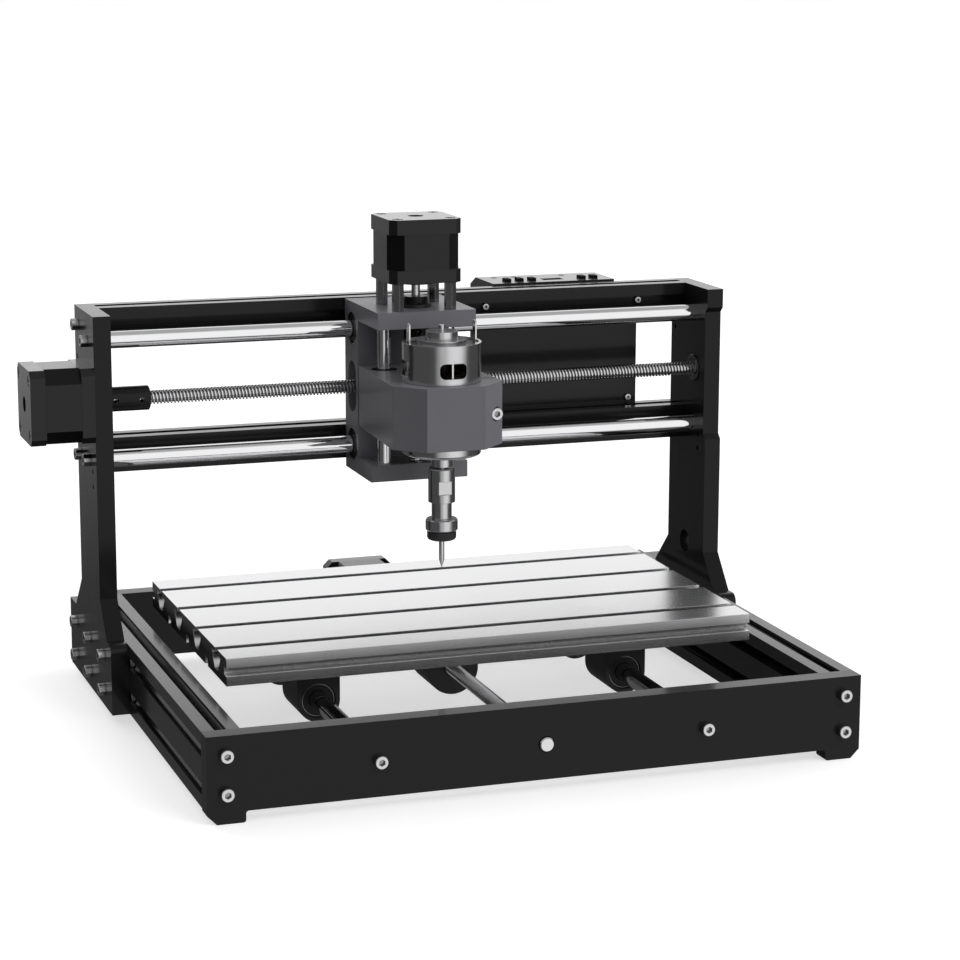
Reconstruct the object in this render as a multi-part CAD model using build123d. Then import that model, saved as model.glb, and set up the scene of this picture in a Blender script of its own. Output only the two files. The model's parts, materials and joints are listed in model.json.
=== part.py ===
from build123d import *
import os

# Desktop cnc router with a moving table and a fixed gantry.
# Machine directions: X along the gantry, Y from the front plate to the back plate, Z up.
# Every size is in millimetres. Places are given first in the machine's own grid, with x = 0
# midway between the rails, y = 0 on the front plate's front face and z = 0 on the ground.
# The finished pieces are then shifted so that the origin is under the middle of the whole box.

# ------------------------------------------------------------------ driving dimensions
frame_width = 360.0            # over the outside of the two rails
rail_length = 291.0            # between the front and back plates
plate_thickness = 11.0         # front and back plates
foot_height = 6.0              # ground to the underside of the rails
foot_width = 20.0
foot_chamfer = 5.0
frame_screw = 4.0              # cap screws of the frame

profile_size = 20.0            # slotted aluminium profile, one cell
slot_opening = 6.2
slot_lip = 1.8
slot_pocket_width = 11.0
slot_floor_width = 5.5
slot_depth = 6.1

upright_thickness = 10.0
upright_top = 227.0            # above the ground
upright_front = 213.0          # front face of the column
upright_depth = 54.0           # column, front to back
upright_foot_front = 185.0
upright_foot_length = 120.0
upright_slope_height = 20.0
upright_recess_depth = 3.0     # long shallow recess in the right column's front edge
upright_recess_low = 136.0
upright_recess_high = 216.0
cable_hole_radius = 7.0
cable_hole_height = 67.5

lower_beam_height = 142.0      # centre of the lower beam above the ground
x_screw_height = 177.0
x_rod_spacing = 68.0           # upper rod to lower rod
x_axis_y = 232.0               # rods and lead screw, from the front face
x_rod_radius = 5.0
rod_seat_depth = 3.0

y_axis_height = 25.0
y_rod_spacing = 180.0
y_rod_radius = 5.0

table_width = 300.0
table_length = 180.0
table_thickness = 15.0
table_top_height = 63.1
table_front = 78.8             # place of the table's front edge at rest
table_slot_count = 4
table_slot_opening = 6.0
table_slot_lip = 2.2
table_slot_pocket = 18.0
table_slot_pocket_side = 2.0
table_slot_floor = 7.0
table_slot_depth = 11.5
table_groove_depth = 5.0
table_groove_height = 4.4
table_channel = 6.0            # square channels in the underside

slider_width = 24.0
slider_length = 32.0
slider_span = 109.0            # front face of the front slider to back face of the rear one
slider_flange_width = 48.0
slider_flange_thickness = 5.0
nut_seat_radius = 15.0

carriage_center = -6.4         # carriage and spindle at rest
carriage_width = 58.0
carriage_bottom = 127.2
carriage_height = 99.4
carriage_back_gap = 1.0        # carriage back to the beams' front faces
slab_thickness = 26.0
lug_thickness = 9.6
upper_lug_reach = 40.0         # in front of the slab
lower_lug_reach = 25.6
nut_window_width = 15.4
nut_window_height = 30.0
nut_window_depth = 40.0

z_axis_y = 201.2
z_rod_radius = 4.0
z_rod_spacing = 38.0
holder_bottom = 155.9          # spindle block at rest
holder_height = 35.5
holder_front_half_width = 16.8
holder_half_width = 32.0
holder_front = 128.0
holder_chamfer = 15.2
holder_back_gap = 2.0
clamp_slit = 2.0
clamp_screw_offset = 27.0

spindle_y = 154.0
can_radius = 22.15
can_wall = 1.6
can_bottom = 150.0
can_length = 62.7
can_rim_height = 0.8
spindle_shaft_radius = 2.5

lead_screw_radius = 4.0
lead_screw_pitch = 2.0
lead_screw_lead = 4.0
screw_end_overhang = 1.5

stepper_width = 42.3
stepper_front_cap = 7.5
stepper_stator = 20.0
stepper_rear_cap = 8.5
stepper_cap_chamfer = 3.8
stepper_stator_chamfer = 8.0
stepper_bolt_spacing = 31.0
stepper_pilot_radius = 11.0
stepper_pilot_height = 2.0
stepper_shaft_radius = 2.5
stepper_shaft_length = 22.0
rotor_radius = 13.0

coupling_radius = 7.0
coupling_length = 25.0
standoff_length = 15.7
standoff_across_flats = 6.0

box_plate_width = 106.5
box_plate_thickness = 2.0
box_plate_bottom = 136.0
box_plate_top = 224.0
box_center = 103.2
box_width = 78.0
box_depth = 43.0
box_bottom = 148.0
box_top = 228.0
box_wall = 1.6
box_chamfer_depth = 10.0
box_chamfer_height = 5.0
box_screw = 2.0                # cap screws of the control box

running_fit = 0.05             # radial clearance of a shaft that turns or slides in its bore
seat_fit = 0.05                # radial clearance of a part pressed or screwed into another
hole_fit = 0.25                # radial clearance of a screw through a plain hole

# ------------------------------------------------------------------ derived places
RIGHT = (1, 0, 0)
LEFT = (-1, 0, 0)
BACK = (0, 1, 0)
FRONT = (0, -1, 0)
UP = (0, 0, 1)
DOWN = (0, 0, -1)
BOTH = (-1, 1)

half_frame = frame_width / 2
rail_x = half_frame - profile_size / 2
rail_height = 2 * profile_size
rail_top = foot_height + rail_height
rail_middle = foot_height + profile_size
cell_heights = (foot_height + profile_size / 2, foot_height + 3 * profile_size / 2)
rail_front = plate_thickness
rail_back = rail_front + rail_length
base_depth = rail_back + plate_thickness

upright_outer = half_frame + upright_thickness
upright_back = upright_front + upright_depth
upright_foot_back = upright_foot_front + upright_foot_length
upright_screw_rows = [upright_foot_front + upright_foot_length * share for share in (1 / 6, 1 / 2, 5 / 6)]
beam_y = upright_back - profile_size / 2
upper_beam_height = upright_top - profile_size / 2
x_rod_heights = (x_screw_height - x_rod_spacing / 2, x_screw_height + x_rod_spacing / 2)

table_bottom = table_top_height - table_thickness
table_back = table_front + table_length
slider_radius = slider_width / 2
slider_middle_y = table_front + table_length / 2
slider_places = (slider_middle_y - (slider_span - slider_length) / 2,
                 slider_middle_y + (slider_span - slider_length) / 2)

slab_back = beam_y - profile_size / 2 - carriage_back_gap
slab_front = slab_back - slab_thickness
carriage_top = carriage_bottom + carriage_height
upper_lug_bottom = carriage_top - lug_thickness
lower_lug_top = carriage_bottom + lug_thickness
carriage_sides = (carriage_center - carriage_width / 2, carriage_center + carriage_width / 2)
z_motor_face = carriage_top + standoff_length
z_rod_places = [carriage_center + side * z_rod_spacing / 2 for side in BOTH]
holder_top = holder_bottom + holder_height
holder_back = slab_front - holder_back_gap

z_rod_seat = 7.6
rod_tap_depth = 14.0
frame_screw_hole = frame_screw / 2 + hole_fit
frame_screw_thread = frame_screw / 2 + seat_fit
box_screw_hole = box_screw / 2 + hole_fit
m3_hole = 1.5 + hole_fit
m3_thread = 1.5 + seat_fit
m3_sink_radius = 3.0
m3_sink_depth = 3.2
screw_bore = 4.4
lead_screw_bore = lead_screw_radius + running_fit
shaft_bore = stepper_shaft_radius + running_fit
coupling_start = stepper_shaft_length - coupling_length / 2
screw_start = stepper_shaft_length + 0.3


# ------------------------------------------------------------------ shape helpers
def cylinder(radius, length):
    """Cylinder standing on z = 0."""
    return Cylinder(radius, length, align=(Align.CENTER, Align.CENTER, Align.MIN))


def cone(low_radius, high_radius, length):
    """Cone standing on z = 0."""
    return Cone(low_radius, high_radius, length, align=(Align.CENTER, Align.CENTER, Align.MIN))


def tube(outer, inner, length):
    """Tube standing on z = 0."""
    return cylinder(outer, length) - cylinder(inner, length)


def block(x, y, z):
    """Box between a low and a high value on each axis."""
    spans = (x, y, z)
    size = [high - low for low, high in spans]
    middle = [(high + low) / 2 for low, high in spans]
    return Pos(*middle) * Box(*size)


def place(shape, at, toward, side=None):
    """Point a shape's +Z along `toward`, and its +X along `side`, with its origin at `at`."""
    return Plane(origin=at, x_dir=side, z_dir=toward).location * shape


def bore(radius, at, toward, depth):
    """Round cutter that starts at a point and runs the given way."""
    return place(cylinder(radius, depth), at, toward)


def extrude_back(outline, front, thickness):
    """Extrude an outline drawn in X and Z backward from y = front."""
    return extrude(Pos(0, front, 0) * (Plane.XZ * outline), amount=thickness, dir=BACK)


def extrude_right(outline, left, thickness):
    """Extrude an outline drawn in Y and Z to the right from x = left."""
    return extrude(Pos(left, 0, 0) * (Plane.YZ * outline), amount=thickness, dir=RIGHT)


def cap_screw(size, length):
    """Socket cap screw: the head's bearing face is at z = 0 and the shank runs down -Z."""
    head = cylinder(0.75 * size + 0.5, size)
    head = chamfer(head.edges().group_by(Axis.Z)[-1], 0.08 * size)
    socket = extrude(RegularPolygon(0.4 * size, 6, major_radius=False), amount=0.5 * size)
    head -= Pos(0, 0, 0.5 * size) * socket
    return head + Pos(0, 0, -length) * cylinder(size / 2, length)


def hex_nut(size):
    """Hexagonal nut standing on z = 0."""
    body = extrude(RegularPolygon(0.9 * size, 6, major_radius=False), amount=0.8 * size)
    return body - cylinder(size / 2 + seat_fit, 0.8 * size)


def t_slot(opening, lip, pocket, pocket_side, floor, depth):
    """T-slot outline that opens upward at y = 0."""
    right = [(opening / 2, 1), (opening / 2, -lip), (pocket / 2, -lip)]
    right += [(pocket / 2, -lip - pocket_side), (floor / 2, -depth)]
    left = [(-x, y) for x, y in reversed(right)]
    return Polygon(*right, *left, align=None)


# ------------------------------------------------------------------ bought parts
def profile(cells, length):
    """Slotted aluminium profile that runs up +Z, with its cells stacked along Y."""
    outline = Rectangle(profile_size, cells * profile_size)
    slot = t_slot(slot_opening, slot_lip, slot_pocket_width, 1.2, slot_floor_width, slot_depth)
    slot = Pos(0, profile_size / 2) * slot
    for cell in range(cells):
        middle = Pos(0, (cell - (cells - 1) / 2) * profile_size)
        outline -= middle * Circle(frame_screw_thread)
        for turn in (90, -90):
            outline -= middle * Rot(0, 0, turn) * slot
        if cell == 0:
            outline -= middle * Rot(0, 0, 180) * slot
        if cell == cells - 1:
            outline -= middle * slot
    return extrude(outline, amount=length)


def t_nut():
    """Nut for the profile slot. The slot runs along Z and its mouth is at y = 0, facing +Y."""
    half_width = slot_pocket_width / 2 - 0.5
    outline = Polygon((half_width, 0), (half_width, -1.0), (2.6, -3.5), (-2.6, -3.5),
                      (-half_width, -1.0), (-half_width, 0), align=None)
    body = Pos(0, -slot_lip, -5) * extrude(outline, amount=10)
    return body - bore(frame_screw_thread, (0, 0, 0), FRONT, slot_depth)


def linear_bearing(radius, rod_radius, length):
    """Linear ball bearing standing on z = 0, with its two outer rings cut."""
    body = tube(radius, rod_radius + running_fit, length)
    for height in (0.1 * length, 0.9 * length - 1.1):
        body -= Pos(0, 0, height) * tube(radius + 1, radius - 0.4, 1.1)
    return body


def lead_nut():
    """Flanged lead screw nut: the flange ends at z = 0 and the body runs down -Z."""
    flange = Pos(0, 0, -3.5) * cylinder(11, 3.5)
    body = Pos(0, 0, -18.5) * cylinder(5.1, 15)
    nut = flange + body
    for turn in range(4):
        nut -= Rot(0, 0, 90 * turn + 45) * Pos(8, 0, -3.5) * cylinder(1.75, 3.5)
    return nut - Pos(0, 0, -18.5) * cylinder(lead_screw_bore, 18.5)


def end_bearing():
    """Flanged bearing for the end of a lead screw: the flange stands on z = 0."""
    body = cylinder(8, 1) + Pos(0, 0, -6) * cylinder(6.5, 6)
    return body - Pos(0, 0, -6) * cylinder(lead_screw_bore, 7)


def coupling():
    """Rigid coupling: motor shaft from z = 0, lead screw from the middle up."""
    half = coupling_length / 2
    body = cylinder(coupling_radius, coupling_length)
    body = chamfer(body.edges().filter_by(GeomType.CIRCLE), 0.5)
    body -= cylinder(stepper_shaft_radius + seat_fit, half)
    body -= Pos(0, 0, half) * cylinder(lead_screw_radius + seat_fit, half)
    for height in (0.2 * coupling_length, 0.8 * coupling_length):
        body -= bore(1.5, (0, 0, height), RIGHT, coupling_radius + 1)
    return body


def lead_screw(length):
    """Lead screw standing on z = 0."""
    body = cylinder(lead_screw_radius, length)
    return chamfer(body.edges().filter_by(GeomType.CIRCLE), 0.5)


def tapped_rod(radius, length):
    """Ground rod standing on z = 0, tapped at both ends."""
    body = chamfer(cylinder(radius, length).edges().filter_by(GeomType.CIRCLE), 0.4)
    body -= cylinder(frame_screw_thread, rod_tap_depth)
    return body - Pos(0, 0, length - rod_tap_depth) * cylinder(frame_screw_thread, rod_tap_depth)


def stepper_prism(corner, length):
    """Square prism with cut corners, standing on z = 0."""
    return extrude(chamfer(Rectangle(stepper_width, stepper_width).vertices(), corner), amount=length)


def stepper_bolt_places(height):
    """The four bolt centres of a stepper motor at one height."""
    reach = stepper_bolt_spacing / 2
    return [Pos(x * reach, y * reach, height) for x in BOTH for y in BOTH]


def stepper():
    """Stepper motor: mounting face at z = 0, body up +Z, shaft down -Z, plug toward +X."""
    stator_end = stepper_front_cap + stepper_stator
    length = stator_end + stepper_rear_cap
    bolt_seat = length - m3_sink_depth
    bolt_reach = stepper_front_cap - 3.2

    stator = Pos(0, 0, stepper_front_cap) * stepper_prism(stepper_stator_chamfer, stepper_stator)
    stator -= Pos(0, 0, stepper_front_cap) * cylinder(rotor_radius + 0.3, stepper_stator)
    front_cap = stepper_prism(stepper_cap_chamfer, stepper_front_cap)
    front_cap += Pos(0, 0, -stepper_pilot_height) * cylinder(stepper_pilot_radius, stepper_pilot_height)
    front_cap -= Pos(0, 0, -stepper_pilot_height) * cylinder(shaft_bore, length)
    rear_cap = Pos(0, 0, stator_end) * stepper_prism(stepper_cap_chamfer, stepper_rear_cap)
    rear_cap += block((stepper_width / 2, stepper_width / 2 + 5), (-8, 8), (stator_end, length - 1))
    rear_cap -= block((stepper_width / 2 + 1, stepper_width / 2 + 5), (-7, 7), (stator_end + 1, length - 2))
    rear_cap -= Pos(0, 0, stator_end) * cylinder(shaft_bore, length)
    rear_cap -= Pos(0, 0, length - 3) * cylinder(4.5, 3)
    for spot in stepper_bolt_places(0):
        front_cap -= spot * cylinder(m3_thread, stepper_front_cap)
        stator -= spot * cylinder(m3_hole, length)
        rear_cap -= spot * cylinder(m3_hole, length)
        rear_cap -= spot * Pos(0, 0, bolt_seat) * cylinder(m3_sink_radius, m3_sink_depth)

    shaft = Pos(0, 0, -stepper_shaft_length) * cylinder(stepper_shaft_radius, length + stepper_shaft_length - 1.5)
    core = Pos(0, 0, stepper_front_cap + 0.3) * cylinder(rotor_radius, stepper_stator - 0.6)
    bolt = cap_screw(3, bolt_seat - bolt_reach)
    bolts = [spot * bolt for spot in stepper_bolt_places(bolt_seat)]
    return {"stator": [stator], "caps": [front_cap, rear_cap], "rotor": [shaft + core], "bolts": bolts}


def stepper_mount_screws(wall):
    """The four screws that hold a stepper motor on a wall of the given thickness."""
    seat = m3_sink_depth - wall
    screw = place(cap_screw(3, 4 - seat), (0, 0, 0), DOWN)
    return [spot * screw for spot in stepper_bolt_places(seat)]


def stepper_mount_cutter(wall):
    """Pilot bore and screw holes for a stepper motor, through a wall of the given thickness."""
    cutter = Pos(0, 0, -wall) * cylinder(stepper_pilot_radius + seat_fit, wall)
    for spot in stepper_bolt_places(-wall):
        cutter += spot * cylinder(m3_hole, wall)
        cutter += spot * cylinder(m3_sink_radius, m3_sink_depth)
    return cutter


# ------------------------------------------------------------------ where the motors sit
motors = {
    "x": {"at": (-upright_outer, x_axis_y, x_screw_height), "toward": LEFT, "side": BACK},
    "y": {"at": (0, base_depth, y_axis_height), "toward": BACK, "side": RIGHT},
    "z": {"at": (carriage_center, z_axis_y, z_motor_face), "toward": UP, "side": BACK},
}


def at_motor(axis, shapes):
    """Carry shapes built in a motor's own grid to where that motor sits."""
    return [place(shape, motors[axis]["at"], motors[axis]["toward"], motors[axis]["side"]) for shape in shapes]


def drive_line(length):
    """Coupling and lead screw in a motor's own grid. The length is from the motor's face."""
    joint = place(coupling(), (0, 0, -coupling_start), DOWN)
    screw = place(lead_screw(length - screw_start), (0, 0, -screw_start), DOWN)
    return joint, screw


# ------------------------------------------------------------------ frame
def end_plate(front):
    """Front or back plate with its two feet, and the holes both plates share."""
    inner = half_frame - foot_width
    right = [(half_frame, rail_top), (half_frame, foot_chamfer), (half_frame - foot_chamfer, 0)]
    right += [(inner, 0), (inner, foot_height)]
    left = [(-x, z) for x, z in reversed(right)]
    outline = Polygon(*right, *left, align=None)
    outline = fillet([corner for corner in outline.vertices() if abs(corner.X) < inner + 1], foot_height / 4)
    plate = extrude_back(outline, front, plate_thickness)
    for side in BOTH:
        for height in cell_heights:
            plate -= bore(frame_screw_hole, (side * rail_x, front, height), BACK, plate_thickness)
        plate -= bore(frame_screw_hole, (side * y_rod_spacing / 2, front, y_axis_height), BACK, plate_thickness)
    return plate


def front_plate():
    """Front plate with the rod seats and the lead screw's bearing seat."""
    plate = end_plate(0)
    for side in BOTH:
        place_at = (side * y_rod_spacing / 2, plate_thickness, y_axis_height)
        plate -= bore(y_rod_radius + seat_fit, place_at, FRONT, rod_seat_depth)
    plate -= bore(screw_bore, (0, 0, y_axis_height), BACK, plate_thickness)
    return plate - bore(6.5 + seat_fit, (0, plate_thickness, y_axis_height), FRONT, 6.05)


def back_plate():
    """Back plate with the rod seats and the Y motor's mounting holes."""
    plate = end_plate(rail_back)
    for side in BOTH:
        place_at = (side * y_rod_spacing / 2, rail_back, y_axis_height)
        plate -= bore(y_rod_radius + seat_fit, place_at, BACK, rod_seat_depth)
    return plate - at_motor("y", [stepper_mount_cutter(plate_thickness)])[0]


def upright(side):
    """Gantry upright on one side, with every hole both sides share."""
    slope = upright_slope_height
    outline = Polygon(
        (upright_foot_front, foot_height),
        (upright_foot_back, foot_height),
        (upright_foot_back, rail_top),
        (upright_back + slope, rail_top),
        (upright_back, rail_top + slope),
        (upright_back, upright_top),
        (upright_front, upright_top),
        (upright_front, rail_top + slope),
        (upright_front - 0.85 * slope, rail_top),
        (upright_foot_front, rail_top),
        align=None,
    )
    corner = [spot for spot in outline.vertices() if spot.X < upright_foot_front + 1 and spot.Y > rail_top - 1]
    outline = fillet(corner, 5)
    inner = side * half_frame
    left = min(inner, side * upright_outer)
    plate = extrude_right(outline, left, upright_thickness)
    holes = [(y, z) for y in upright_screw_rows for z in cell_heights]
    holes += [(beam_y, lower_beam_height), (beam_y, upper_beam_height)]
    holes += [(x_axis_y, height) for height in x_rod_heights]
    for y, z in holes:
        plate -= bore(frame_screw_hole, (left, y, z), RIGHT, upright_thickness)
    cable_clip_holes = [(upright_back - 6, x_screw_height + 21)]
    cable_clip_holes += [(upright_front + 11, x_rod_heights[0] - drop) for drop in (5.4, 14)]
    for y, z in cable_clip_holes:
        plate -= bore(1.5, (left, y, z), RIGHT, upright_thickness)
    outward = (side, 0, 0)
    for height in x_rod_heights:
        plate -= bore(x_rod_radius + seat_fit, (inner, x_axis_y, height), outward, rod_seat_depth)
    return plate


def left_upright():
    """Left upright, which carries the X motor."""
    return upright(-1) - at_motor("x", [stepper_mount_cutter(upright_thickness)])[0]


def right_upright():
    """Right upright, with its front recess, the lead screw's bearing seat and the cable hole."""
    recess = Polygon(
        (upright_front, upright_recess_high),
        (upright_front + upright_recess_depth, upright_recess_high - upright_recess_depth),
        (upright_front + upright_recess_depth, upright_recess_low + upright_recess_depth),
        (upright_front, upright_recess_low),
        align=None,
    )
    plate = upright(1) - extrude_right(recess, half_frame, upright_thickness)
    plate -= bore(screw_bore, (half_frame, x_axis_y, x_screw_height), RIGHT, upright_thickness)
    plate -= bore(6.5 + seat_fit, (half_frame, x_axis_y, x_screw_height), RIGHT, 6.05)
    cable_hole = (half_frame, (upright_front + upright_back) / 2 + 1, cable_hole_height)
    return plate - bore(cable_hole_radius, cable_hole, RIGHT, upright_thickness)


def rail(side):
    """Base rail on one side."""
    return place(profile(2, rail_length), (side * rail_x, rail_front, rail_middle), BACK, RIGHT)


def beam(height):
    """Gantry beam at one height."""
    return place(profile(1, frame_width), (-half_frame, beam_y, height), RIGHT, BACK)


def frame_screws():
    """Every large socket cap screw of the frame."""
    long_screw = cap_screw(frame_screw, plate_thickness + 14)
    rod_screw = cap_screw(frame_screw, plate_thickness - rod_seat_depth + 9)
    nut_screw = cap_screw(frame_screw, upright_thickness + slot_depth - 0.6)
    beam_screw = cap_screw(frame_screw, upright_thickness + 14)
    x_rod_screw = cap_screw(frame_screw, upright_thickness - rod_seat_depth + 9)
    screws = []
    for side in BOTH:
        for y, outward in ((0, FRONT), (base_depth, BACK)):
            for height in cell_heights:
                screws.append(place(long_screw, (side * rail_x, y, height), outward))
            screws.append(place(rod_screw, (side * y_rod_spacing / 2, y, y_axis_height), outward))
        outer = side * upright_outer
        outward = (side, 0, 0)
        for y in upright_screw_rows:
            for height in cell_heights:
                screws.append(place(nut_screw, (outer, y, height), outward))
        for height in (lower_beam_height, upper_beam_height):
            screws.append(place(beam_screw, (outer, beam_y, height), outward))
        for height in x_rod_heights:
            screws.append(place(x_rod_screw, (outer, x_axis_y, height), outward))
    return screws


def rail_nuts():
    """The T-nuts that hold the uprights to the rails."""
    nut = t_nut()
    nuts = []
    for side in BOTH:
        for y in upright_screw_rows:
            for height in cell_heights:
                nuts.append(place(nut, (side * half_frame, y, height), BACK, (0, 0, side)))
    return nuts


def y_rod(side):
    """Y guide rod on one side."""
    start = rail_front - rod_seat_depth
    rod = tapped_rod(y_rod_radius, rail_length + 2 * rod_seat_depth)
    return place(rod, (side * y_rod_spacing / 2, start, y_axis_height), BACK)


def x_rod(height):
    """X guide rod at one height."""
    rod = tapped_rod(x_rod_radius, frame_width + 2 * rod_seat_depth)
    return place(rod, (-half_frame - rod_seat_depth, x_axis_y, height), RIGHT)


def screw_end_bearings():
    """The bearings at the far ends of the X and Y lead screws."""
    x_bearing = place(end_bearing(), (half_frame, x_axis_y, x_screw_height), LEFT)
    y_bearing = place(end_bearing(), (0, plate_thickness, y_axis_height), BACK)
    return [x_bearing, y_bearing]


# ------------------------------------------------------------------ table
def table_plate():
    """Slotted table plate, with its slots along X."""
    outline = Pos(table_front + table_length / 2, table_bottom + table_thickness / 2) \
        * Rectangle(table_length, table_thickness)
    slot = t_slot(table_slot_opening, table_slot_lip, table_slot_pocket, table_slot_pocket_side,
                  table_slot_floor, table_slot_depth)
    pitch = table_length / table_slot_count
    for index in range(table_slot_count):
        outline -= Pos(table_front + (index + 0.5) * pitch, table_top_height) * slot
    for index in range(1, table_slot_count):
        outline -= Pos(table_front + index * pitch, table_bottom + 2) * Rectangle(table_channel, table_channel)
    groove = Rectangle(2 * table_groove_depth, table_groove_height)
    for edge in (table_front, table_back):
        outline -= Pos(edge, table_bottom + table_thickness / 2) * groove
    plate = extrude_right(outline, -table_width / 2, table_width)
    for x, y in table_screw_places():
        plate -= bore(2 + seat_fit, (x, y, table_bottom), UP, 8)
    return plate


def table_screw_places():
    """Centres of the screws under the table: one pair for each slider, two for the nut seat."""
    places = []
    for rod_side in BOTH:
        for y in slider_places:
            places += [(rod_side * y_rod_spacing / 2 + side * (slider_radius + 5), y) for side in BOTH]
    for y in (slider_middle_y - 8, slider_middle_y + 8):
        places += [(side * (nut_seat_radius + 5), y) for side in BOTH]
    return places


def hanging_block(x, y, radius):
    """Block with a round underside that hangs from the table around the rod or screw line."""
    wide = radius + 10
    outline = Pos(x, y_axis_height) * Circle(radius)
    stem_height = table_bottom - y_axis_height
    outline += Pos(x, y_axis_height + stem_height / 2) * Rectangle(2 * radius, stem_height)
    outline += Pos(x, table_bottom - slider_flange_thickness / 2) * Rectangle(2 * wide, slider_flange_thickness)
    body = extrude_back(outline, y - slider_length / 2, slider_length)
    for screw_x, screw_y in table_screw_places():
        if abs(screw_x - x) < wide and abs(screw_y - y) < slider_length / 2:
            body -= bore(2 + hole_fit, (screw_x, screw_y, table_bottom), DOWN, slider_flange_thickness)
    return body


def y_sliders():
    """The four blocks that hold the bearings on the Y rods."""
    sliders = []
    for side in BOTH:
        for y in slider_places:
            x = side * y_rod_spacing / 2
            body = hanging_block(x, y, slider_radius)
            sliders.append(body - bore(9.5 + seat_fit, (x, y - slider_length / 2, y_axis_height), BACK, slider_length))
    return sliders


def y_linear_bearings():
    """The four bearings on the Y rods."""
    bearing = linear_bearing(9.5, y_rod_radius, 29)
    places = [(side * y_rod_spacing / 2, y - 14.5, y_axis_height) for side in BOTH for y in slider_places]
    return [place(bearing, spot, BACK) for spot in places]


def y_nut_seat():
    """Block that carries the Y nut."""
    body = hanging_block(0, slider_middle_y, nut_seat_radius)
    front = (0, slider_middle_y - slider_length / 2, y_axis_height)
    body -= bore(lead_screw_radius + 0.6, front, BACK, slider_length)
    return body - bore(5.1 + seat_fit, (0, front[1] + slider_length, y_axis_height), FRONT, 15.1)


def y_nut():
    """Nut on the Y lead screw, with its flange on the back of its seat."""
    return place(lead_nut(), (0, slider_middle_y + slider_length / 2 + 3.5, y_axis_height), BACK)


def table_screws():
    """Screws that hold the sliders and the nut seat under the table."""
    screw = cap_screw(4, slider_flange_thickness + 7)
    height = table_bottom - slider_flange_thickness
    return [place(screw, (x, y, height), DOWN) for x, y in table_screw_places()]


# ------------------------------------------------------------------ carriage
def carriage_body():
    """Carriage: a slab around the X rods with two lugs that hold the Z rods."""
    left, right = carriage_sides
    body = block(carriage_sides, (slab_front, slab_back), (carriage_bottom, carriage_top))
    body += block(carriage_sides, (slab_front - upper_lug_reach, slab_front), (upper_lug_bottom, carriage_top))
    body += block(carriage_sides, (slab_front - lower_lug_reach, slab_front), (carriage_bottom, lower_lug_top))
    for height in x_rod_heights:
        body -= bore(9.5 + seat_fit, (left, x_axis_y, height), RIGHT, carriage_width)
    window = Pos(x_axis_y, x_screw_height) * Rot(0, 0, 90) * SlotOverall(nut_window_height, nut_window_width)
    body -= extrude_right(window, left, nut_window_depth)
    body -= bore(5.1 + seat_fit, (right, x_axis_y, x_screw_height), LEFT, carriage_width - nut_window_depth)
    body -= bore(11 + seat_fit, (right, x_axis_y, x_screw_height), LEFT, 3.5)
    for x in z_rod_places:
        body -= bore(z_rod_radius + seat_fit, (x, z_axis_y, upper_lug_bottom), UP, z_rod_seat)
        body -= bore(z_rod_radius + seat_fit, (x, z_axis_y, lower_lug_top), DOWN, z_rod_seat)
    body -= bore(8 + seat_fit, (carriage_center, z_axis_y, upper_lug_bottom), UP, lug_thickness)
    body -= bore(lead_screw_bore, (carriage_center, z_axis_y, lower_lug_top), DOWN, 8.8)
    studs = [spot * cylinder(m3_thread, 5.2) for spot in stepper_bolt_places(standoff_length)]
    for stud in at_motor("z", [place(stud, (0, 0, 0), DOWN) for stud in studs]):
        body -= stud
    return body


def x_linear_bearings():
    """The bearings on the X rods, two on each rod."""
    length = (carriage_width - 1) / 2
    bearing = linear_bearing(9.5, x_rod_radius, length)
    starts = (carriage_sides[0], carriage_center + 0.5)
    return [place(bearing, (x, x_axis_y, height), RIGHT) for x in starts for height in x_rod_heights]


def x_nut():
    """Nut on the X lead screw, flush in the carriage's right side."""
    return place(lead_nut(), (carriage_sides[1], x_axis_y, x_screw_height), RIGHT)


def z_rods():
    """The two Z guide rods."""
    length = upper_lug_bottom - lower_lug_top + 2 * z_rod_seat
    rod = chamfer(cylinder(z_rod_radius, length).edges().filter_by(GeomType.CIRCLE), 0.4)
    return [Pos(x, z_axis_y, lower_lug_top - z_rod_seat) * rod for x in z_rod_places]


def z_standoffs():
    """Hexagonal standoffs with a threaded stud at each end, under the Z motor."""
    body = extrude(RegularPolygon(standoff_across_flats / 2, 6, major_radius=False), amount=standoff_length)
    body += Pos(0, 0, -5) * cylinder(1.5, standoff_length + 9)
    spots = stepper_bolt_places(-standoff_length)
    return at_motor("z", [spot * body for spot in spots])


def z_top_bearing():
    """Flanged bush around the Z coupling, standing on the upper lug."""
    body = Pos(0, 0, -lug_thickness) * cylinder(8, lug_thickness) + cylinder(9, 2)
    body -= Pos(0, 0, -lug_thickness) * cylinder(coupling_radius + running_fit, lug_thickness + 2)
    return Pos(carriage_center, z_axis_y, carriage_top) * body


# ------------------------------------------------------------------ spindle block
def clamp_screw_seat():
    """Where the clamp screw's head bears on the spindle block."""
    y = holder_front + holder_chamfer - 2.2
    return (carriage_center + clamp_screw_offset, y, (holder_bottom + holder_top) / 2)


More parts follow.
